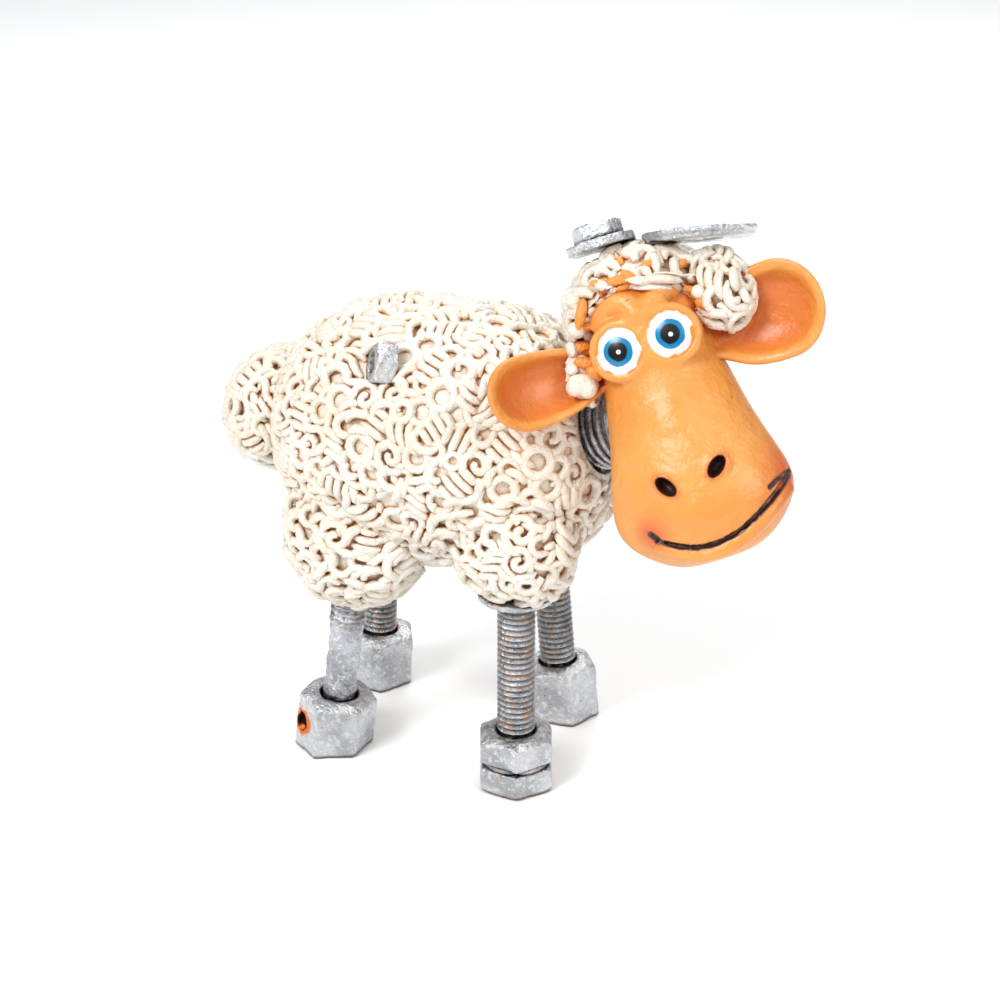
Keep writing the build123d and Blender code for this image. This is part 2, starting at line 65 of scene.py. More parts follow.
world = bpy.data.worlds.new("studio_air")
bpy.context.scene.world = world
world.use_nodes = True
air = world.node_tree.nodes
air["Background"].inputs["Strength"].default_value = 0.62
direction = air.new("ShaderNodeTexCoord")
split = air.new("ShaderNodeSeparateXYZ")
sky = air.new("ShaderNodeValToRGB")
sky.color_ramp.elements[0].position = 0.05
sky.color_ramp.elements[0].color = (0.16, 0.17, 0.19, 1)
sky.color_ramp.elements[1].position = 0.6
sky.color_ramp.elements[1].color = (0.97, 0.99, 1.0, 1)
world.node_tree.links.new(direction.outputs["Generated"], split.inputs["Vector"])
world.node_tree.links.new(split.outputs["Z"], sky.inputs["Fac"])
world.node_tree.links.new(sky.outputs["Color"], air["Background"].inputs["Color"])

for place, aim, size, watts in (
    ((-0.35, -0.75, 0.85), (0, 0, 0.06), 0.45, 9.5),
    ((0.75, -0.35, 0.6), (0, 0, 0.06), 0.4, 3.0),
    ((-0.1, 0.6, 0.8), (0, 0, 0.08), 0.5, 4.5),
):
    bpy.ops.object.light_add(type="AREA", location=place)
    lamp = bpy.context.object
    lamp.data.size = size
    lamp.data.energy = watts
    lamp.rotation_euler = (Vector(aim) - Vector(place)).to_track_quat("-Z", "Y").to_euler()

bpy.ops.object.camera_add(location=(0.1407, -0.3824, 0.2407))
camera = bpy.context.object
camera_aim = Vector((-0.0033, 0.0027, 0.0577))
camera.rotation_euler = (camera_aim - camera.location).to_track_quat("-Z", "Y").to_euler()
camera.data.lens = 76.95
camera.data.sensor_width = 36.0
camera.data.clip_start = 0.01
bpy.context.scene.camera = camera
bpy.context.scene.view_settings.view_transform = "Standard"
bpy.context.view_layer.update()

# Threaded leg rods: 8 mm screw threads that the casting copies, brushed with silver paint.
# A dark wash lies in the grooves, deepened by painted shade, with ochre stains, painted highlight streaks, and patches
# that are shinier than others.


def start_finish(name, roughness, metallic=0.0, coat=0.0):
    material = bpy.data.materials.new(name)
    material.use_nodes = True
    nodes = material.node_tree.nodes
    shader = nodes["Principled BSDF"]
    shader.inputs["Roughness"].default_value = roughness
    shader.inputs["Metallic"].default_value = metallic
    shader.inputs["Coat Weight"].default_value = coat
    shader.inputs["Coat Roughness"].default_value = 0.25
    return material, nodes, material.node_tree.links, shader


def grain(nodes, links, scale, low, high, detail=3.0):
    where = nodes.new("ShaderNodeTexCoord")
    cloud = nodes.new("ShaderNodeTexNoise")
    cloud.inputs["Scale"].default_value = scale
    cloud.inputs["Detail"].default_value = detail
    span = nodes.new("ShaderNodeMapRange")
    span.inputs["From Min"].default_value = low
    span.inputs["From Max"].default_value = high
    links.new(where.outputs["Object"], cloud.inputs["Vector"])
    links.new(cloud.outputs["Fac"], span.inputs["Value"])
    return span.outputs["Result"]


def crevice(nodes, links, distance, open_share, shut_share):
    shade = nodes.new("ShaderNodeAmbientOcclusion")
    shade.samples = 4
    shade.inputs["Distance"].default_value = distance
    span = nodes.new("ShaderNodeMapRange")
    span.inputs["From Min"].default_value = open_share
    span.inputs["From Max"].default_value = shut_share
    links.new(shade.outputs["AO"], span.inputs["Value"])
    return span.outputs["Result"]


def combine(nodes, links, operation, first, second):
    step = nodes.new("ShaderNodeMath")
    step.operation = operation
    step.use_clamp = True
    for socket, value in zip(step.inputs, (first, second)):
        if isinstance(value, float):
            socket.default_value = value
        else:
            links.new(value, socket)
    return step.outputs[0]


def layer(nodes, links, share, under, over):
    mix = nodes.new("ShaderNodeMix")
    mix.data_type = "RGBA"
    for socket, value in ((mix.inputs[0], share), (mix.inputs[6], under), (mix.inputs[7], over)):
        if isinstance(value, float):
            socket.default_value = value
        elif isinstance(value, tuple):
            socket.default_value = (*value, 1)
        else:
            links.new(value, socket)
    return mix.outputs[2]


def roughen(nodes, links, shader, height, depth):
    bump = nodes.new("ShaderNodeBump")
    bump.inputs["Distance"].default_value = depth
    links.new(height, bump.inputs["Height"])
    links.new(bump.outputs["Normal"], shader.inputs["Normal"])


def silver_paint(name, silver, stain_low):
    material, nodes, links, shader = start_finish(name, 0.36, metallic=0.95)
    groove = crevice(nodes, links, 0.0012, 0.97, 0.66)
    patch = grain(nodes, links, 130.0, 0.44, 0.62, 4.0)
    stain = combine(nodes, links, "MULTIPLY", grain(nodes, links, 420.0, stain_low, stain_low + 0.1), groove)
    colour = layer(nodes, links, patch, silver, tuple(0.68 * part for part in silver))
    # Painted highlight: fine streaks lighten the silver almost to white, standing in for bright reflections.
    highlight_streaks = combine(nodes, links, "MULTIPLY", grain(nodes, links, 900.0, 0.56, 0.64), 0.5)
    colour = layer(nodes, links, highlight_streaks, colour, (0.92, 0.93, 0.95))
    # Painted shade with the dark wash: the grooves go nearly black where the occlusion closes in.
    colour = layer(nodes, links, combine(nodes, links, "MULTIPLY", groove, 0.95), colour, (0.03, 0.03, 0.035))
    colour = layer(nodes, links, stain, colour, (0.34, 0.17, 0.05))
    for mark_name, bare in (("chip_rim", (0.80, 0.20, 0.03)), ("chip", (0.012, 0.010, 0.010))):
        mark = nodes.new("ShaderNodeAttribute")
        mark.attribute_name = mark_name
        colour = layer(nodes, links, mark.outputs["Fac"], colour, bare)
    links.new(colour, shader.inputs["Base Color"])
    dull = nodes.new("ShaderNodeMapRange")
    dull.inputs["To Min"].default_value = 0.2
    dull.inputs["To Max"].default_value = 0.5
    links.new(grain(nodes, links, 900.0, 0.3, 0.7), dull.inputs["Value"])
    links.new(dull.outputs["Result"], shader.inputs["Roughness"])
    hammered = combine(nodes, links, "MULTIPLY", grain(nodes, links, 210.0, 0.3, 0.7, 1.0), 0.75)
    fine = combine(nodes, links, "MULTIPLY", grain(nodes, links, 1500.0, 0.3, 0.7, 4.0), 0.25)
    roughen(nodes, links, shader, combine(nodes, links, "ADD", hammered, fine), 0.0008)
    return material


leg_silver = silver_paint("leg_silver", (0.62, 0.63, 0.66), 0.5)
for leg in ("front_right", "front_left", "rear_left"):
    rod = frame["nodes"][f"{leg}_rod"]
    rod.data.materials.clear()
    rod.data.materials.append(leg_silver)

# Hooves: a bolt head, a split lock washer and a nut on the front right leg, tall nuts on the others.
# Each is cast and painted, so its edges are soft and its flats slightly dented.


def cast_copy(node, name, grid, soften, dent_size, dent_depth):
    bpy.ops.object.select_all(action="DESELECT")
    piece = bpy.data.objects.new(name, frame["nodes"][node].data.copy())
    bpy.context.scene.collection.objects.link(piece)
    piece.data.materials.clear()
    piece.select_set(True)
    bpy.context.view_layer.objects.active = piece
    bpy.ops.object.mode_set(mode="EDIT")
    bpy.ops.mesh.select_all(action="SELECT")
    bpy.ops.mesh.remove_doubles(threshold=0.000005)
    bpy.ops.object.mode_set(mode="OBJECT")
    cast = piece.modifiers.new("cast", "REMESH")
    cast.mode = "VOXEL"
    cast.voxel_size = grid
    worn = piece.modifiers.new("worn", "SMOOTH")
    worn.iterations = soften
    bpy.ops.object.modifier_apply(modifier="cast")
    bpy.ops.object.modifier_apply(modifier="worn")
    dents = bpy.data.textures.new(f"{name}_dents", "CLOUDS")
    dents.noise_scale = dent_size
    dented = piece.modifiers.new("dented", "DISPLACE")
    dented.texture = dents
    dented.texture_coords = "LOCAL"
    dented.strength = dent_depth
    dented.mid_level = 0.5
    bpy.ops.object.modifier_apply(modifier="dented")
    bpy.ops.object.shade_smooth()
    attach(piece, piece_body(node))
    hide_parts(node)
    return piece


def mm(*lengths):
    return Vector(lengths) / 1000


def seen_ray(px, py):
    # The line of sight through a picture point of the 1000 by 1000 frame
    away = Vector((px - 500, 500 - py, -2137.5)).normalized()
    return camera.location, camera.matrix_world.to_3x3() @ away


def clay_ball(centre, half, tilt=0.0):
    bpy.ops.mesh.primitive_uv_sphere_add(segments=32, ring_count=20, radius=1.0, location=mm(*centre))
    ball = bpy.context.object
    ball.scale = mm(*half)
    ball.rotation_euler = (0, math.radians(tilt), 0)
    bpy.ops.object.transform_apply(location=True, rotation=True, scale=True)
    return ball


def cut_from(piece, cutter):
    bpy.ops.object.select_all(action="DESELECT")
    piece.select_set(True)
    bpy.context.view_layer.objects.active = piece
    cut = piece.modifiers.new("cut", "BOOLEAN")
    cut.operation = "DIFFERENCE"
    cut.object = cutter
    cut.solver = "EXACT"
    bpy.ops.object.modifier_apply(modifier="cut")
    bpy.data.objects.remove(cutter)


def piece_body(node):
    bodies = frame["record"]["behaviour"]["bodies"]
    return next(body for body, members in bodies.items() if node in members)


hoof_silver = silver_paint("hoof_silver", (0.66, 0.67, 0.70), 0.52)
for node in (
    "front_right_bolt_head",
    "front_right_lock_washer",
    "front_right_nut",
    "front_left_hoof",
    "rear_right_hoof",
    "rear_left_hoof",
    "front_right_washer",
):
    soften = 4 if "washer" in node else 22
    hoof = cast_copy(node, f"{node}_cast", 0.00026, soften, 0.004, 0.0006)
    hoof.data.materials.append(hoof_silver)

# The rear right hoof is chipped: a dark hole in its left corner, with the orange undercoat bare round it
hoof = bpy.data.objects["rear_right_hoof_cast"]
hoof_skin = BVHTree.FromPolygons([v.co for v in hoof.data.vertices], [tuple(p.vertices) for p in hoof.data.polygons])
chip = hoof_skin.ray_cast(*seen_ray(302, 721))[0]
cut_from(hoof, clay_ball(tuple(chip * 1000), (1.7, 1.7, 2.5), 20))
away = [(v.co - chip).length + 0.0007 * noise.noise(v.co * 700) for v in hoof.data.vertices]
for mark_name, reach in (("chip_rim", 0.0034), ("chip", 0.0023)):
    mark = hoof.data.attributes.new(mark_name, "FLOAT", "POINT")
    mark.data.foreach_set("value", [min(1.0, max(0.0, (reach - far) / 0.0003)) for far in away])

# The rear right rod: its lower thread is drowned in lumpy casting.
rod = cast_copy("rear_right_rod", "rear_right_rod_cast", 0.0002, 1, 0.0022, 0.0009)
rod.data.materials.append(leg_silver)

# Fleece: thin rolls of ivory clay bent into rings, hooks, waves and stacks, pressed on to a lumpy core.
# An orange-brown wash was brushed over it and wiped off the tops, so it stays between the rolls.
ivory_paint, nodes, links, shader = start_finish("ivory_paint", 0.38, coat=0.25)
wash_mark = nodes.new("ShaderNodeAttribute")
wash_mark.attribute_name = "wash"
tint_mark = nodes.new("ShaderNodeAttribute")
tint_mark.attribute_name = "tint"
gap = crevice(nodes, links, 0.0016, 0.6, 0.12)
low_side = combine(nodes, links, "MULTIPLY", wash_mark.outputs["Fac"], 0.35)
dirty = combine(nodes, links, "MULTIPLY", gap, grain(nodes, links, 160.0, 0.38, 0.66))
wash = combine(nodes, links, "ADD", dirty, combine(nodes, links, "MULTIPLY", low_side, gap))
ivory = layer(nodes, links, grain(nodes, links, 90.0, 0.4, 0.6), (0.85, 0.80, 0.72), (0.82, 0.74, 0.62))
# Painted shade: the ivory darkens to tan where the gaps between the rolls close in; the orange-brown wash goes over it.
colour = layer(nodes, links, combine(nodes, links, "MULTIPLY", gap, 0.8), ivory, (0.74, 0.50, 0.28))
colour = layer(nodes, links, wash, colour, (0.74, 0.34, 0.08))
colour = layer(nodes, links, tint_mark.outputs["Fac"], colour, (0.83, 0.29, 0.045))
links.new(colour, shader.inputs["Base Color"])
roughen(nodes, links, shader, grain(nodes, links, 1300.0, 0.3, 0.7), 0.0002)

fleece_nodes = (
    "fleece_body",
    "tail_tuft",
    "front_right_leg_wool",
    "front_left_leg_wool",
    "rear_right_leg_wool",
    "rear_left_leg_wool",
)


def node_triangles(names):
    corners, triangles, start = [], [], 0
    for name in names:
        mesh = frame["nodes"][name].data
        mesh.calc_loop_triangles()
        place = np.zeros(len(mesh.vertices) * 3)
        mesh.vertices.foreach_get("co", place)
        index = np.zeros(len(mesh.loop_triangles) * 3, dtype=int)
        mesh.loop_triangles.foreach_get("vertices", index)
        corners.append(place.reshape(-1, 3))
        triangles.append(index.reshape(-1, 3) + start)
        start += len(mesh.vertices)
    return np.vstack(corners), np.vstack(triangles)


def surface_of(names):
    corners, triangles = node_triangles(names)
    return BVHTree.FromPolygons([Vector(c) for c in corners], [tuple(t) for t in triangles.tolist()])


def bend(parts, steps_per_turn=9):
    # Walks a flat line from its turns: (radius, degrees) bends left, or right if negative, and (0, length) runs on
    x, y, heading = 0.0, 0.0, 0.0
    line = [(x, y)]
    for radius, amount in parts:
        if radius == 0:
            x += amount * math.cos(heading)
            y += amount * math.sin(heading)
            line.append((x, y))
            continue
        steps = max(2, round(abs(amount) / 360 * steps_per_turn))
        side = 1 if amount > 0 else -1
        for _ in range(steps):
            turn = math.radians(amount) / steps
            chord = 2 * radius * math.sin(abs(turn) / 2)
            heading += turn / 2
            x += chord * math.cos(heading)
            y += chord * math.sin(heading)
            heading += turn / 2
            line.append((x, y))
    middle = np.mean(np.array(line), axis=0)
    return [(px - middle[0], py - middle[1]) for px, py in line]


def rolled(lines, thickness, rise=0.0):
    # One clay roll or a group of them, as corner places in millimetres and the faces between them.
    # A roll that rises stands proud at its middle and dives at its ends.
    bpy.ops.object.select_all(action="DESELECT")
    bpy.ops.curve.primitive_bezier_curve_add()
    roll = bpy.context.object
    roll.data.splines.clear()
    roll.data.dimensions = "3D"
    for line in lines:
        closed = math.dist(line[0], line[-1]) < thickness * 0.6 and len(line) > 6
        line = line[:-1] if closed else line
        spline = roll.data.splines.new("POLY")
        spline.points.add(len(line) - 1)
        spline.use_cyclic_u = closed
        for step, (point, (x, y)) in enumerate(zip(spline.points, line)):
            arched = 0.0 if closed else rise * (math.sin(math.pi * step / (len(line) - 1)) ** 0.6 - 0.45)
            point.co = (x, y, arched, 1)
        if not closed:
            spline.points[0].radius = 0.7
            spline.points[-1].radius = 0.7
    roll.data.bevel_depth = thickness / 2
    roll.data.bevel_resolution = 1
    roll.data.use_fill_caps = True
    bpy.ops.object.convert(target="MESH")
    mesh = bpy.context.object.data
    places = np.array([tuple(v.co) for v in mesh.vertices])
    faces = [tuple(p.vertices) for p in mesh.polygons]
    bpy.data.objects.remove(bpy.context.object)
    return places, faces


def stacked(line, count, pitch):
    return [[(x, y + (row - (count - 1) / 2) * pitch) for x, y in line] for row in range(count)]


def rung(length, y, bow=0.25):
    return [(-length / 2, y), (-length / 4, y + bow * 0.75), (0, y + bow), (length / 4, y + bow * 0.75), (length / 2, y)]


def arch(radius, sweep, y):
    return [(px, y - py) for px, py in bend([(radius, sweep)], 30)]


ladder = [rung(4.6, -3.0), rung(6.4, -1.0), rung(6.4, 1.0), rung(4.6, 3.0)]
arches = [arch(4.3, 76, step * 2.15) for step in (-1, 0, 1)]
# Each roll shape: its lines, how thick it is, how far it rises, and how much room it takes
roll_shapes = {
    "ladder": (rolled(ladder, 1.95, 1.1), 4.2),
    "arches": (rolled(arches, 1.95, 1.1), 4.1),
    "ring": (rolled([bend([(2.5, 360)], 13)], 1.95), 3.5),
    "small_ring": (rolled([bend([(1.75, 330)], 11)], 1.8, 0.3), 2.7),
    "spiral": (rolled([bend([(1.15, 200), (2.3, 180), (3.3, 150)], 13)], 1.85, 0.5), 4.1),
    "nested": (rolled([bend([(1.6, 180)], 12), [(x, y + 0.9) for x, y in bend([(3.9, 170)], 14)]], 1.95, 0.8), 4.1),
    "stack": (rolled(stacked(bend([(6.2, 64)], 30), 3, 2.25), 2.0, 1.1), 4.1),
    "wave": (rolled([bend([(2.1, 150), (2.1, -160), (2.1, 100)], 12)], 1.9, 0.5), 3.9),
    "s_curl": (rolled([bend([(2.2, 160), (2.1, -170)], 12)], 1.9, 0.8), 3.4),
    "hook": (rolled([bend([(0, 1.8), (0, 1.8), (1.9, 190)], 12)], 1.9, 0.7), 3.0),
    "u_bend": (rolled([bend([(0, 2.0), (1.95, 180), (0, 2.0)], 12)], 1.9, 0.8), 3.1),
    "arc": (rolled([bend([(3.0, 150)], 13)], 2.0, 1.1), 2.8),
    "short_arc": (rolled([bend([(3.1, 95)], 18)], 1.95, 1.2), 2.3),
    "bar": (rolled([rung(5.6, 0, 0.35)], 1.95, 1.1), 2.4),
    "stub": (rolled([[(-1.2, 0), (0, 0.1), (1.2, 0.1)]], 1.9, 0.5), 1.6),
}
roll_plan = (
    (("stack", "ladder", "ring", "spiral", "arches", "nested", "wave"), 1.0, 1500),
    (("s_curl", "hook", "u_bend", "arc", "small_ring", "ring"), 0.92, 4500),
    (("arc", "short_arc", "hook", "bar", "s_curl"), 0.8, 6000),
    (("short_arc", "bar", "stub"), 0.72, 6000),
)


def swirled(spot, normal, turn):
    # The way a roll runs: the wool swirls slowly from place to place, and each roll strays from it
    swirl = noise.noise(spot * 75) * 3.0 + turn * 0.7
    side = normal.cross(Vector((0.2, 0.35, 1.0))).normalized()
    return side * math.cos(swirl) + normal.cross(side) * math.sin(swirl)


def scatter(area_of, others, clearance, plan_scale, seed, laid=(), scale=1.0, moving=()):
    # Chooses where rolls lie on a free surface, round those laid before: place, normal, way, shape, size, height
    chance = random.Random(seed)
    picker = np.random.default_rng(seed)
    corners, triangles = area_of
    a, b, c = (corners[triangles[:, k]] for k in range(3))
    cross = np.cross(b - a, c - a)
    area = np.linalg.norm(cross, axis=1) / 2
    chosen = list(laid)
    taken = np.array([[*roll[0], roll_shapes[roll[3]][1] / 1000] for roll in laid]).reshape(-1, 4)
    near = surface_of(others)
    swinging = [(surface_of(names), room) for names, room in moving]
    for shapes, tightness, tries in roll_plan:
        faces = picker.choice(len(area), int(tries * plan_scale), p=area / area.sum())
        for face in faces:
            u, v = chance.random(), chance.random()
            if u + v > 1:
                u, v = 1 - u, 1 - v
            spot = a[face] + u * (b[face] - a[face]) + v * (c[face] - a[face])
            shape = chance.choice(shapes)
            size = chance.uniform(0.9, 1.12) * scale
            room = roll_shapes[shape][1] * size / 1000
            if len(taken):
                apart = np.linalg.norm(taken[:, :3] - spot, axis=1)
                if (apart < (taken[:, 3] + room) * 0.64 * tightness).any():
                    continue
            if near.find_nearest(Vector(spot), clearance)[0] is not None:
                continue
            if any(skin.find_nearest(Vector(spot), swing + room)[0] is not None for skin, swing in swinging):
                continue
            spot, normal = Vector(spot), Vector(cross[face]).normalized()
            way = swirled(spot, normal, chance.uniform(-1, 1))
            chosen.append((spot, normal, way, shape, size, chance.random()))
            taken = np.vstack([taken, [*spot, room]])
    return chosen


def press_on(name, rolls, surface, material, lift, tinted=()):
    # Presses each roll on to the surface below it, and makes one mesh of them all
    corners, faces, washes, tints = [], [], [], []
    for spot, normal, along, shape, size, height in rolls:
        (places, shape_faces), _ = roll_shapes[shape]
        across = normal.cross(along)
        start = len(corners)
        for x, y, z in places:
            foot = spot + (along * x + across * y) * (size / 1000)
            under, under_normal, _, _ = surface.find_nearest(foot)
            if under_normal.dot(normal) < 0:
                under_normal = normal
            out = (z + lift + 0.8 * height) * size / 1000
            corners.append(under + under_normal.lerp(normal, 0.35).normalized() * out)
            washes.append(min(1.0, max(0.0, 0.5 - z / 1.3)))
        faces += [tuple(start + k for k in face) for face in shape_faces]
        tints += [1.0 if spot in tinted else 0.0] * len(places)
    mesh = bpy.data.meshes.new(name)
    mesh.from_pydata(corners, [], faces)
    mark = mesh.attributes.new("wash", "FLOAT", "POINT")
    mark.data.foreach_set("value", washes)
    mark = mesh.attributes.new("tint", "FLOAT", "POINT")
    mark.data.foreach_set("value", tints)
    piece = bpy.data.objects.new(name, mesh)
    bpy.context.scene.collection.objects.link(piece)
    bpy.ops.object.select_all(action="DESELECT")
    piece.select_set(True)
    bpy.context.view_layer.objects.active = piece
    bpy.ops.object.shade_smooth()
    mesh.materials.append(material)
    return piece


def wool_core(node, name, sink, grid):
    core = cast_copy(node, name, grid, 3, 0.003, 0.0009)
    pulled = core.modifiers.new("pulled", "DISPLACE")
    pulled.strength = -sink
    pulled.mid_level = 0.0
    bpy.context.view_layer.objects.active = core
    bpy.ops.object.modifier_apply(modifier="pulled")
    mark = core.data.attributes.new("wash", "FLOAT", "POINT")
    mark.data.foreach_set("value", [1.0] * len(core.data.vertices))
    core.data.materials.append(ivory_paint)
    return core


# The body under the wool: a rounded barrel, 72 by 53 mm, with a round pocket in its chest for the neck
barrel_middle = Vector((-0.014, 0.0025, 0.072))
barrel_half_length = 0.036
barrel_radius = 0.0265
barrel_squareness = 2.6
neck_foot = Vector((0.018, 0.0005, 0.0783))
neck_axis = Vector((0.8685, -0.3509, 0.3502)).normalized()


def barrel_outline(angle):
    along = math.copysign(abs(math.cos(angle)) ** (2 / barrel_squareness), math.cos(angle))
    return Vector((barrel_half_length * along, barrel_radius * math.sin(angle) ** (2 / barrel_squareness)))


bpy.ops.object.select_all(action="DESELECT")
bpy.ops.mesh.primitive_uv_sphere_add(segments=112, ring_count=72, radius=1.0)
barrel = bpy.context.object
barrel.name = "fleece_body_core"
for vertex in barrel.data.vertices:
    angle = math.acos(max(-1.0, min(1.0, vertex.co.z)))
    around = math.atan2(vertex.co.y, vertex.co.x)
    point = barrel_outline(angle)
    vertex.co = barrel_middle + Vector((point.x, point.y * math.cos(around), point.y * math.sin(around)))
barrel.data.calc_loop_triangles()
barrel_corners = np.array([tuple(v.co) for v in barrel.data.vertices])
barrel_triangles = np.array([tuple(t.vertices) for t in barrel.data.loop_triangles])

other_fleece = [name for name in fleece_nodes if name != "fleece_body"]
side_corners, side_triangles = node_triangles(other_fleece)
wool_corners = np.vstack([barrel_corners, side_corners])
wool_triangles = np.vstack([barrel_triangles, side_triangles + len(barrel_corners)])
wool_surface = BVHTree.FromPolygons([Vector(c) for c in wool_corners], [tuple(t) for t in wool_triangles.tolist()])

# Main curls: rows of ladders, rings and arches round the barrel, as on the solid
curl_pitch = 0.0088
curl_turn = math.radians(67.0)
curl_row_turn = math.radians(41.0)
strand_top = 0.00075
solid_wool = surface_of(["fleece_body"])
main_curls = []
walked = curl_pitch / 2
last = barrel_outline(0)
row = -1
for step in range(1, 400):
    point = barrel_outline(math.pi * step / 400)
    walked += (point - last).length
    if walked < curl_pitch:
        last = point
        continue
    walked = 0
    row += 1
    direction = (point - last).normalized()
    count = max(1, int(2 * math.pi * last.y / curl_pitch))
    for number in range(count):
        around = 2 * math.pi * (number + row % 2 / 2) / count
        out = Vector((0, math.cos(around), math.sin(around)))
        spot = barrel_middle + Vector((last.x, 0, 0)) + out * last.y
        normal = (out * -direction.x + Vector((direction.y, 0, 0))).normalized()
        across = Vector((0, -math.sin(around), math.cos(around)))
        turn = number * curl_turn + row * curl_row_turn
        way = across * math.cos(turn) + normal.cross(across) * math.sin(turn)
        shape, aside = (
            ("ladder", 0.000975),
            ("ring", 0.00255),
            ("ladder", 0.000975),
            ("arches", 0.0),
            ("ring", 0.00255),
        )[(row + 2 * number) % 5]
        crest = spot + normal * strand_top + normal.cross(way) * aside
        if solid_wool.find_nearest(crest, 0.00025)[0] is not None:
            main_curls.append((spot, normal, way, shape, 1.0, 0.25 + 0.5 * noise.random()))
    last = point

bpy.ops.mesh.primitive_cylinder_add(vertices=64, radius=0.0099, depth=0.03)
pocket = bpy.context.object
neck_turned = Vector((0, 0, 1)).rotation_difference(neck_axis).to_matrix().to_4x4()
pocket.data.transform(Matrix.Translation(neck_foot + neck_axis * 0.013) @ neck_turned)
bpy.ops.object.select_all(action="DESELECT")
barrel.select_set(True)
bpy.context.view_layer.objects.active = barrel
bored = barrel.modifiers.new("bored", "BOOLEAN")
bored.operation = "DIFFERENCE"
bored.object = pocket
bored.solver = "EXACT"
bpy.ops.object.modifier_apply(modifier="bored")
bpy.data.objects.remove(pocket)
bpy.ops.object.shade_smooth()
mark = barrel.data.attributes.new("wash", "FLOAT", "POINT")
mark.data.foreach_set("value", [1.0] * len(barrel.data.vertices))
barrel.data.materials.append(ivory_paint)
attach(barrel, "torso")
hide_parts("fleece_body")

bare = [name for name in frame["nodes"] if piece_body(name) in ("torso", "seat") and name not in fleece_nodes]
for order, node in enumerate(fleece_nodes):
    if node == "fleece_body":
        moving = ((("wool_cap", "side_tuft", "cheek_tuft", "head"), 0.0036), (("neck_spring", "spring_plug"), 0.0012))
        rolls = scatter((barrel_corners, barrel_triangles), bare, 0.0012, 2.4, 11, main_curls, moving=moving)
    else:
        wool_core(node, f"{node}_core", 0.0009, 0.0008)
        rolls = scatter(node_triangles([node]), bare, 0.0022, 0.9, 11 + order)
    lift = 0.15 if node == "fleece_body" else -0.35
    curls = press_on(f"{node}_curls", rolls, wool_surface, ivory_paint, lift)
    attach(curls, "torso")
    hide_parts(node)

# Nut on the flank: a small hex nut pressed into the wool with its bore showing, with drips of silver beside it.
side_nut = cast_copy("side_nut", "side_nut_cast", 0.0002, 3, 0.002, 0.0004)
side_nut.data.materials.append(hoof_silver)

# Neck spring: a coil of dull steel wire between two round seats, one in the body and one in the head.
# It bends with the head; here it is cut at its middle into a lower and an upper half.
wire_steel = silver_paint("wire_steel", (0.50, 0.51, 0.54), 0.6)
neck_middle = neck_foot + neck_axis * 0.00575
neck_top = neck_foot + neck_axis * 0.0115
for half, low_body, high_body, start, end in (
    ("lower", "seat", "spring", neck_foot, neck_middle),
    ("upper", "spring", "head", neck_middle, neck_top),
):
    bpy.ops.object.select_all(action="DESELECT")
    coil = bpy.data.objects.new(f"neck_coil_{half}", frame["nodes"]["neck_spring"].data.copy())
    bpy.context.scene.collection.objects.link(coil)
    coil.select_set(True)
    bpy.context.view_layer.objects.active = coil
    bpy.ops.object.mode_set(mode="EDIT")
    bpy.ops.mesh.select_all(action="SELECT")
    bpy.ops.mesh.remove_doubles(threshold=0.000002)
    bpy.ops.mesh.select_all(action="SELECT")
    bpy.ops.mesh.bisect(
        plane_co=neck_middle,
        plane_no=neck_axis,
        clear_inner=half == "upper",
        clear_outer=half == "lower",
        use_fill=True,
    )
    bpy.ops.object.mode_set(mode="OBJECT")
    bpy.ops.object.shade_smooth()
    coil.data.materials.clear()
    coil.data.materials.append(wire_steel)
    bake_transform(coil)
    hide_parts("neck_spring")
for node in ("spring_seat", "spring_plug"):
    seat = frame["nodes"][node]
    seat.data.materials.clear()
    seat.data.materials.append(wire_steel)

# Head: a cast resin head, satin orange. A long muzzle widens to the mouth, two brow lobes hang over the
# eyes, each eye has a raised lid, and the nostrils and the smile are cut in. It sits on the neck's plug.
face_orange, nodes, links, shader = start_finish("face_orange", 0.38, coat=0.25)
painted_shade_mark = nodes.new("ShaderNodeAttribute")
painted_shade_mark.attribute_name = "painted_shade"
blush_mark = nodes.new("ShaderNodeAttribute")
blush_mark.attribute_name = "blush"
face_hollow_shade = crevice(nodes, links, 0.004, 0.8, 0.25)
orange = layer(nodes, links, grain(nodes, links, 70.0, 0.38, 0.62), (0.79, 0.335, 0.07), (0.74, 0.28, 0.05))
# Painted shade: the orange darkens to deep red in the face's hollows, where shade falls.
orange = layer(nodes, links, combine(nodes, links, "MULTIPLY", face_hollow_shade, 0.85), orange, (0.55, 0.11, 0.01))
orange = layer(nodes, links, blush_mark.outputs["Fac"], orange, (0.62, 0.075, 0.008))
specks = combine(nodes, links, "MULTIPLY", grain(nodes, links, 700.0, 0.68, 0.74), grain(nodes, links, 60.0, 0.5, 0.6))
orange = layer(nodes, links, specks, orange, (0.45, 0.14, 0.03))
# Painted shade: near black in the mouth's groove, its hook and the nostrils.
orange = layer(nodes, links, painted_shade_mark.outputs["Fac"], orange, (0.05, 0.016, 0.012))
links.new(orange, shader.inputs["Base Color"])
roughen(nodes, links, shader, grain(nodes, links, 420.0, 0.25, 0.75, 5.0), 0.0003)

head_place = Matrix.Translation((0.0371063, -0.0072194, 0.0860046))
head_place @= Matrix.Rotation(math.radians(9.5), 4, "Z")
head_place @= Matrix.Rotation(math.radians(-20.0), 4, "X")
head_place @= Matrix.Rotation(math.radians(-22.5), 4, "Y")

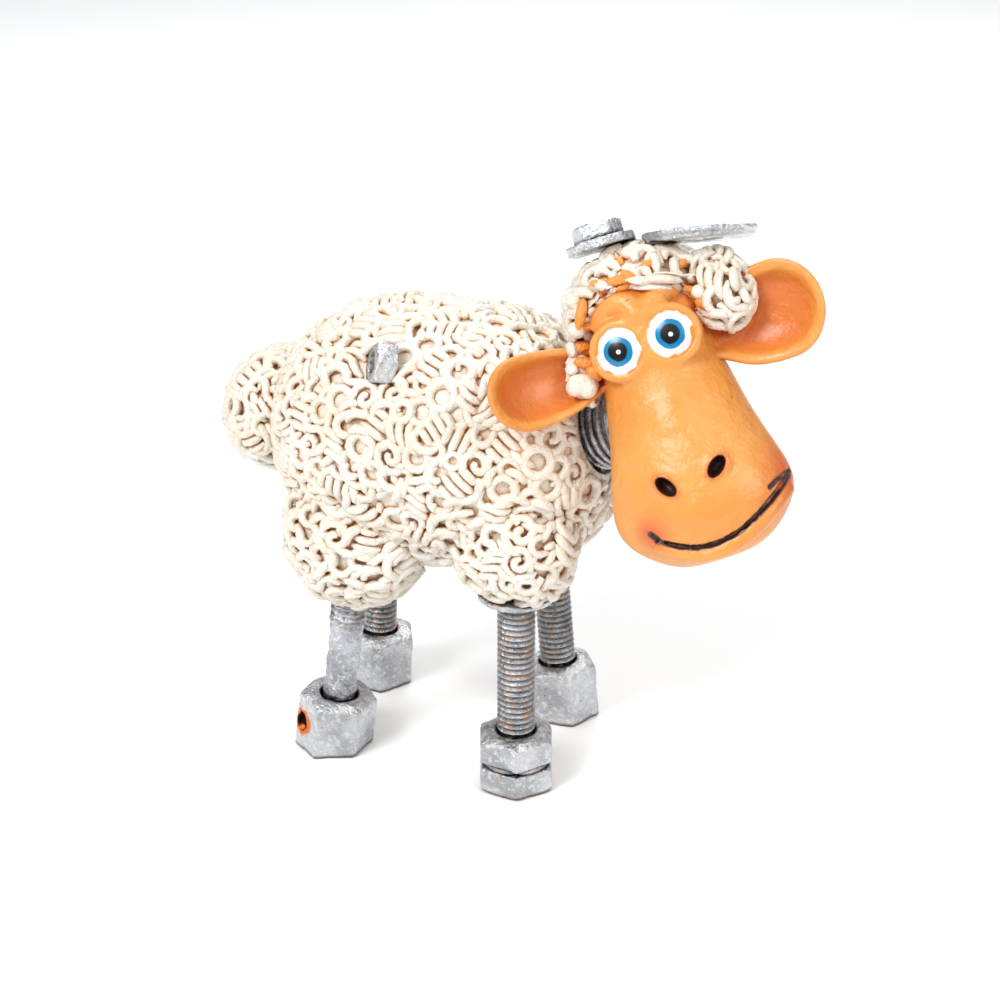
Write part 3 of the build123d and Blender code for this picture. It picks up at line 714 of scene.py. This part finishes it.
# Height, half width, half depth, and how far the middle lies to the side and forward, from chin to crown
head_slices = (
    (-28.9, 5.5, 4.2, 0.7, -7.2),
    (-27.6, 9.6, 6.4, 0.8, -7.2),
    (-25.2, 13.2, 8.6, 0.8, -6.9),
    (-21.8, 16.6, 10.8, 0.6, -6.3),
    (-17.8, 18.3, 12.4, 0.6, -5.5),
    (-13.0, 17.5, 13.0, 0.4, -4.6),
    (-8.0, 15.9, 13.1, 0.3, -3.8),
    (-1.5, 14.1, 12.8, 0.3, -2.4),
    (5.5, 12.8, 12.4, 0.4, -1.0),
    (12.0, 11.6, 12.4, 0.0, 0.0),
    (18.5, 11.2, 12.6, -0.3, 0.3),
    (25.0, 10.0, 11.4, -0.2, 0.3),
    (29.5, 6.8, 7.8, 0.0, 0.5),
    (31.0, 3.2, 3.8, 0.0, 0.5),
)


bpy.ops.object.select_all(action="DESELECT")
height, wide, deep, aside, ahead = head_slices[0]
bpy.ops.mesh.primitive_circle_add(vertices=32, radius=0.001, fill_type="NGON", location=mm(aside, ahead, height))
head = bpy.context.object
head.name = "head_cast"
bpy.ops.object.transform_apply(location=True, rotation=False, scale=False)
bpy.ops.object.mode_set(mode="EDIT")
bpy.ops.mesh.select_all(action="SELECT")
bpy.ops.transform.resize(value=(wide, deep, 1), center_override=mm(aside, ahead, height))
for below, above in zip(head_slices, head_slices[1:]):
    step = mm(above[3] - below[3], above[4] - below[4], above[0] - below[0])
    bpy.ops.mesh.extrude_region_move(TRANSFORM_OT_translate={"value": step})
    middle = mm(above[3], above[4], above[0])
    bpy.ops.transform.resize(value=(above[1] / below[1], above[2] / below[2], 1), center_override=middle)
bpy.ops.mesh.select_all(action="SELECT")
bpy.ops.mesh.normals_make_consistent(inside=False)
bpy.ops.object.mode_set(mode="OBJECT")
smooth_head = head.modifiers.new("smooth_head", "SUBSURF")
smooth_head.levels = smooth_head.render_levels = 2
bpy.ops.object.modifier_apply(modifier="smooth_head")
head_skin = BVHTree.FromPolygons(
    [head_place @ v.co for v in head.data.vertices], [tuple(p.vertices) for p in head.data.polygons]
)


def on_face(px, py):
    spot, normal, _, _ = head_skin.ray_cast(*seen_ray(px, py))
    return head_place.inverted() @ spot, (head_place.inverted().to_3x3() @ normal).normalized()


def clay_line(points, thickness, sink):
    bpy.ops.curve.primitive_bezier_curve_add()
    line = bpy.context.object
    line.data.splines.clear()
    line.data.dimensions = "3D"
    spline = line.data.splines.new("NURBS")
    spline.points.add(len(points) - 1)
    for point, (spot, normal) in zip(spline.points, points):
        point.co = (*(spot - normal * sink / 1000), 1)
    spline.order_u = 3
    spline.use_endpoint_u = True
    line.data.resolution_u = 6
    line.data.bevel_depth = thickness / 2000
    line.data.bevel_resolution = 3
    line.data.use_fill_caps = True
    bpy.ops.object.convert(target="MESH")
    return bpy.context.object


smile_seen = ((651, 535), (660, 542), (680, 547), (697, 548), (716, 544), (738, 533), (756, 517), (770, 501), (782, 485), (789, 474))
smile = [on_face(*point) for point in smile_seen]
lumps = [
    clay_ball((0, -10.6, -6.0), (7.5, 5.2, 13.0)),
]
for brow_seen in (
    ((598, 331), (601, 316), (610, 304), (622, 301), (633, 308), (640, 321)),
    ((646, 319), (650, 303), (662, 291), (674, 289), (684, 297), (689, 310)),
):
    lumps.append(clay_line([on_face(*point) for point in brow_seen], 5.0, 0.4))
for side in (-1, 1):
    lumps.append(clay_ball((side * 5.05, -7.4, 15.0), (6.1, 5.2, 6.0)))
    bpy.ops.mesh.primitive_torus_add(
        location=mm(side * 5.05, -11.7, 15.0),
        rotation=(math.radians(90), 0, math.radians(side * 7)),
        major_radius=0.0052,
        minor_radius=0.0011,
        major_segments=40,
        minor_segments=12,
    )
    bpy.ops.object.transform_apply(location=True, rotation=True, scale=True)
    lumps.append(bpy.context.object)
nostrils = []
for px, py, lean in ((666, 487, -34), (716.5, 466.5, 48)):
    spot, normal = on_face(px, py)
    nostrils.append((spot, normal, lean))
    lumps.append(clay_ball(tuple((spot + normal * -0.0009) * 1000), (2.9, 1.8, 3.6), lean))
lip_drop = Vector((0, 0, -0.0021))
lumps.append(clay_line([(spot + lip_drop, normal) for spot, normal in smile], 3.4, 1.0))
lumps.append(clay_line([(spot - lip_drop * 0.75, normal) for spot, normal in smile], 2.8, 1.1))

neck_in_head = head_place.inverted() @ Matrix.Translation(neck_foot + neck_axis * 0.0135) @ neck_turned
bpy.ops.mesh.primitive_cylinder_add(vertices=48, radius=0.00825, depth=0.006, location=(0, 0, 0))
boss = bpy.context.object
boss.data.transform(neck_in_head @ Matrix.Translation((0, 0, 0.003)))
lumps.append(boss)

bpy.ops.object.select_all(action="DESELECT")
for lump in (*lumps, head):
    lump.select_set(True)
bpy.context.view_layer.objects.active = head
bpy.ops.object.join()


def fused(piece, grid, soften):
    bpy.ops.object.select_all(action="DESELECT")
    piece.select_set(True)
    bpy.context.view_layer.objects.active = piece
    fuse = piece.modifiers.new("fuse", "REMESH")
    fuse.mode = "VOXEL"
    fuse.voxel_size = grid
    soft = piece.modifiers.new("soft", "SMOOTH")
    soft.iterations = soften
    soft.factor = 0.5
    bpy.ops.object.modifier_apply(modifier="fuse")
    bpy.ops.object.modifier_apply(modifier="soft")


fused(head, 0.00045, 14)
cut_from(head, clay_line(smile, 1.15, 0.2))
hook_seen = ((790, 470), (784, 474), (777, 480), (770, 487))
hook = [on_face(*point) for point in hook_seen]
cut_from(head, clay_line(hook, 0.9, 0.1))
for spot, normal, lean in nostrils:
    cut_from(head, clay_ball(tuple((spot + normal * 0.0002) * 1000), (1.35, 3.2, 2.3), lean))
bpy.ops.mesh.primitive_cylinder_add(vertices=48, radius=0.00935, depth=0.016, location=(0, 0, 0))
plug_room = bpy.context.object
plug_room.data.transform(neck_in_head @ Matrix.Translation((0, 0, -0.008)))
cut_from(head, plug_room)
fused(head, 0.0003, 3)

places = np.array([tuple(v.co) for v in head.data.vertices])
smile_line = np.array([tuple(spot) for spot, _ in smile])
dense = np.vstack([a + (b - a) * t for a, b in zip(smile_line, smile_line[1:]) for t in np.linspace(0, 1, 12)[:, None]])
hook_line = np.array([tuple(spot) for spot, _ in hook])
dense_hook = np.vstack([a + (b - a) * t for a, b in zip(hook_line, hook_line[1:]) for t in np.linspace(0, 1, 8)[:, None]])
from_smile = np.array([np.linalg.norm(dense - place, axis=1).min() for place in places])
from_hook = np.array([np.linalg.norm(dense_hook - place, axis=1).min() for place in places])
# Painted shade: the smile's groove, its hook and the insides of the nostrils are painted near black, where shade falls
# in the cuts.
painted_shade = np.clip((0.00086 - from_smile) / 0.00018, 0, 1)
painted_shade = np.maximum(painted_shade, np.clip((0.00064 - from_hook) / 0.00016, 0, 1))
blush = np.zeros(len(places))
for corner, reach in ((smile_line[0], 0.0035), (smile_line[-1], 0.0065)):
    blush = np.maximum(blush, 0.85 * np.exp(-((np.linalg.norm(places - corner, axis=1) / reach) ** 2)))
for spot, normal, lean in nostrils:
    turned = Matrix.Rotation(math.radians(lean), 3, "Y")
    local = (places - np.array(spot)) @ np.array(turned) / np.array((0.00142, 0.0034, 0.0024))
    inside = np.linalg.norm(local, axis=1)
    painted_shade = np.maximum(painted_shade, np.clip((1.06 - inside) / 0.12, 0, 1))
    blush = np.maximum(blush, 0.7 * np.clip((1.5 - inside) / 0.5, 0, 1))
for mark_name, amounts in (("painted_shade", painted_shade), ("blush", blush)):
    mark = head.data.attributes.new(mark_name, "FLOAT", "POINT")
    mark.data.foreach_set("value", amounts.astype(np.float32))
head.data.transform(head_place)
head.matrix_world = Matrix.Identity(4)
bpy.ops.object.shade_smooth()
head.data.materials.clear()
head.data.materials.append(face_orange)
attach(head, "head")
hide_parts("head")

# Eyes: shallow gloss domes set inside the lids, painted by hand: a white with a ragged edge, a blue iris,
# a black pupil and a white dot.
eye_gloss, nodes, links, shader = start_finish("eye_gloss", 0.22, coat=0.25)
front = nodes.new("ShaderNodeUVMap")
front.uv_map = "front"
apart = nodes.new("ShaderNodeVectorMath")
apart.operation = "DISTANCE"
apart.inputs[1].default_value = (0.5, 0.5, 0.0)
links.new(front.outputs["UV"], apart.inputs[0])
brushed = combine(nodes, links, "MULTIPLY", grain(nodes, links, 500.0, 0.3, 0.7, 2.0), 0.022)
ragged = combine(nodes, links, "ADD", apart.outputs["Value"], brushed)


def within(radius, edge, reach=ragged):
    span = nodes.new("ShaderNodeMapRange")
    span.inputs["From Min"].default_value = radius + edge
    span.inputs["From Max"].default_value = radius - edge
    links.new(reach, span.inputs["Value"])
    return span.outputs["Result"]


dot = nodes.new("ShaderNodeVectorMath")
dot.operation = "DISTANCE"
dot.inputs[1].default_value = (0.507, 0.49, 0.0)
links.new(front.outputs["UV"], dot.inputs[0])
glint = nodes.new("ShaderNodeMapRange")
glint.inputs["From Min"].default_value = 0.05
glint.inputs["From Max"].default_value = 0.035
links.new(dot.outputs["Value"], glint.inputs["Value"])
colour = layer(nodes, links, grain(nodes, links, 260.0, 0.42, 0.6), (0.90, 0.88, 0.88), (0.84, 0.72, 0.70))
chipped = combine(nodes, links, "MULTIPLY", grain(nodes, links, 330.0, 0.42, 0.66, 1.0), 0.11)
chipped = combine(nodes, links, "ADD", apart.outputs["Value"], chipped)
colour = layer(nodes, links, within(0.485, 0.01, chipped), (0.80, 0.30, 0.05), colour)
colour = layer(nodes, links, within(0.295, 0.008), colour, (0.0, 0.20, 0.44))
colour = layer(nodes, links, within(0.20, 0.008), colour, (0.006, 0.007, 0.009))
colour = layer(nodes, links, glint.outputs["Result"], colour, (0.95, 0.95, 0.95))
links.new(colour, shader.inputs["Base Color"])
for name, side in (("right_eye", -1), ("left_eye", 1)):
    bpy.ops.object.select_all(action="DESELECT")
    eye = clay_ball((0, 0, 0), (4.85, 2.1, 4.85))
    eye.name = f"{name}_painted"
    chart = eye.data.uv_layers[0]
    chart.name = "front"
    for loop in eye.data.loops:
        x, y, z = eye.data.vertices[loop.vertex_index].co * 1000
        chart.data[loop.index].uv = (0.5 + x / 10, 0.5 + z / 10)
    eye.data.transform(head_place @ Matrix.Translation(mm(side * 5.05, -11.75, 15.0)) @ Matrix.Rotation(math.radians(side * 5), 4, "Z"))
    bpy.ops.object.shade_smooth()
    eye.data.materials.append(eye_gloss)
    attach(eye, "head")
    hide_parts(name)

# Ears: leaf-shaped bowls with a thick rolled rim, deeper orange inside with fine tool marks.
# The right ear swings forward and the left one stands out to the side.
for name, side, length, outline, forward, root in (
    ("right_ear", -1, 28.5, (3.6, 4.4, 6.2, 7.2, 7.6, 7.7, 7.7, 7.7), 30.0, 9.3),
    ("left_ear", 1, 26.0, (4.6, 6.0, 8.4, 9.6, 9.9, 9.9, 9.7, 9.4), 6.0, 9.3),
):
    bpy.ops.object.select_all(action="DESELECT")
    bpy.ops.mesh.primitive_circle_add(vertices=32, radius=1.0, fill_type="NGON", location=(0, 0, 0))
    ear = bpy.context.object
    ear.name = f"{name}_cast"
    for vertex in ear.data.vertices:
        around = math.atan2(vertex.co.y, vertex.co.x)
        share = (1 + math.cos(around)) / 2
        spot = share * (len(outline) - 1)
        low = min(int(spot), len(outline) - 2)
        half = outline[low] + (outline[low + 1] - outline[low]) * (spot - low)
        half *= math.sqrt(1 - max(0.0, (share - 0.68) / 0.32) ** 2)
        rim = math.sin(around)
        vertex.co = mm(share * length, 0, half * (1 if rim > 0 else -1) * min(1.0, abs(rim) * 6))
    bpy.ops.object.mode_set(mode="EDIT")
    bpy.ops.mesh.select_all(action="SELECT")
    for depth, long, tall in (
        (-2.4, 1.0, 1.0),
        (-0.8, 0.94, 0.90),
        (0.0, 0.90, 0.84),
        (1.3, 0.96, 0.94),
        (1.1, 0.84, 0.80),
        (0.3, 0.5, 0.4),
    ):
        bpy.ops.mesh.extrude_region_move(TRANSFORM_OT_translate={"value": mm(0, depth, 0)})
        bpy.ops.transform.resize(value=(long, 1, tall), center_override=mm(length * 0.48, 0, 0))
    bpy.ops.mesh.select_all(action="SELECT")
    bpy.ops.mesh.normals_make_consistent(inside=False)
    bpy.ops.object.mode_set(mode="OBJECT")
    rounded = ear.modifiers.new("rounded", "SUBSURF")
    rounded.levels = rounded.render_levels = 2
    bpy.ops.object.modifier_apply(modifier="rounded")
    fused(ear, 0.0003, 12)
    hollow_share = []
    for vertex in ear.data.vertices:
        depth = (vertex.co.y * 1000 + 2.9) / 1.8
        hollow_share.append(0.5 * min(1.0, max(0.0, depth)) if vertex.normal.y < 0.3 and depth < 2 else 0.0)
    for vertex in ear.data.vertices:
        off = math.hypot(vertex.co.x - length / 2000, vertex.co.z)
        vertex.co.y += 0.0014 - (0.022 - math.sqrt(0.022**2 - min(off, 0.016) ** 2))
    flip = Matrix.Scale(-1, 4, (1, 0, 0)) if side < 0 else Matrix.Identity(4)
    swing = Matrix.Rotation(math.radians(-side * forward), 4, "Z")
    ear.data.transform(head_place @ Matrix.Translation(mm(side * root, 0, 13.2)) @ swing @ flip)
    if side < 0:
        ear.data.flip_normals()
    ear.data.attributes.new("painted_shade", "FLOAT", "POINT")
    ear.data.attributes.new("blush", "FLOAT", "POINT").data.foreach_set("value", hollow_share)
    bpy.ops.object.shade_smooth()
    ear.data.materials.append(face_orange)
    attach(ear, "head")
    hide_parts(name)

# Wool on the head: a cap of thicker rolls, a tuft beside each eye, and orange paint on the tips along the face.
head_wool = ("wool_cap", "side_tuft", "cheek_tuft")
head_wool_surface = surface_of(head_wool)
face_skin = surface_of(["head"])
tips = random.Random(5)
for order, node in enumerate(head_wool):
    wool_core(node, f"{node}_core", 0.0006 if node == "cheek_tuft" else 0.0013, 0.0006)
    if node == "cheek_tuft":
        continue
    others = [name for name in frame["nodes"] if name not in head_wool and name != "head" and piece_body(name) == "head"]
    rolls = scatter(node_triangles([node]), others, 0.0012, 0.3, 31 + order, scale=0.95 if order else 1.1)
    at_hairline = [roll[0] for roll in rolls if face_skin.find_nearest(roll[0], 0.0022)[0] is not None]
    tinted = [spot for spot in at_hairline if (head_place.inverted() @ spot).y < -0.004 and tips.random() < 0.5]
    curls = press_on(f"{node}_curls", rolls, head_wool_surface, ivory_paint, -0.75, tinted)
    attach(curls, "head")
    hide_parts(node)

# Beads of wool beside the right eye and along the hairline, some brushed over with the face's orange:
# picture point, half length, half width, turn in the picture, and whether it is orange
beads_seen = (
    (572, 370, 1.3, 1.2, 0, False),
    (572, 350, 1.2, 1.7, 20, False),
    (580, 348, 2.2, 1.3, 10, True),
    (586, 363, 2.4, 1.2, -5, True),
    (594, 373, 1.9, 1.6, -50, True),
    (576, 387, 2.0, 1.9, 30, False),
    (588, 388, 1.9, 2.1, -20, False),
    (581, 380, 2.4, 1.2, 0, False),
    (581, 314, 3.1, 1.1, 80, True),
    (577, 330, 1.9, 1.7, 0, False),
    (576, 300, 2.2, 1.8, 15, False),
    (603, 284, 2.6, 1.0, -5, True),
    (629, 277, 1.9, 1.1, -40, True),
    (647, 265, 1.5, 0.9, 30, True),
    (679, 265, 1.7, 0.9, 35, True),
    (704, 303, 1.8, 1.2, -10, True),
    (699, 292, 1.6, 1.5, 0, False),
)
wool_and_face = surface_of([*head_wool, "head"])
picture = camera.matrix_world.to_3x3()
for number, (px, py, half_length, half_width, turn, orange_bead) in enumerate(beads_seen):
    spot = wool_and_face.ray_cast(*seen_ray(px, py))[0]
    bead = clay_ball((0, 0, 0), (half_length, half_width, half_width))
    bead.name = f"wool_bead_{number + 1}"
    turned = picture @ Matrix.Rotation(math.radians(turn), 3, "Z")
    bead.data.transform(Matrix.Translation(spot) @ turned.to_4x4())
    mark = bead.data.attributes.new("tint", "FLOAT", "POINT")
    mark.data.foreach_set("value", [float(orange_bead)] * len(bead.data.vertices))
    bpy.ops.object.shade_smooth()
    bead.data.materials.append(ivory_paint)
    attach(bead, "head")

# Hardware on the crown: a wide double washer, and a flanged bolt head beside it, bedded in the wool.
crown_silver = silver_paint("crown_silver", (0.78, 0.80, 0.83), 0.58)
for node in ("crown_washer", "crown_flange", "crown_bolt"):
    ring = cast_copy(node, f"{node}_cast", 0.00028, 3, 0.0035, 0.0005)
    ring.data.materials.append(crown_silver)
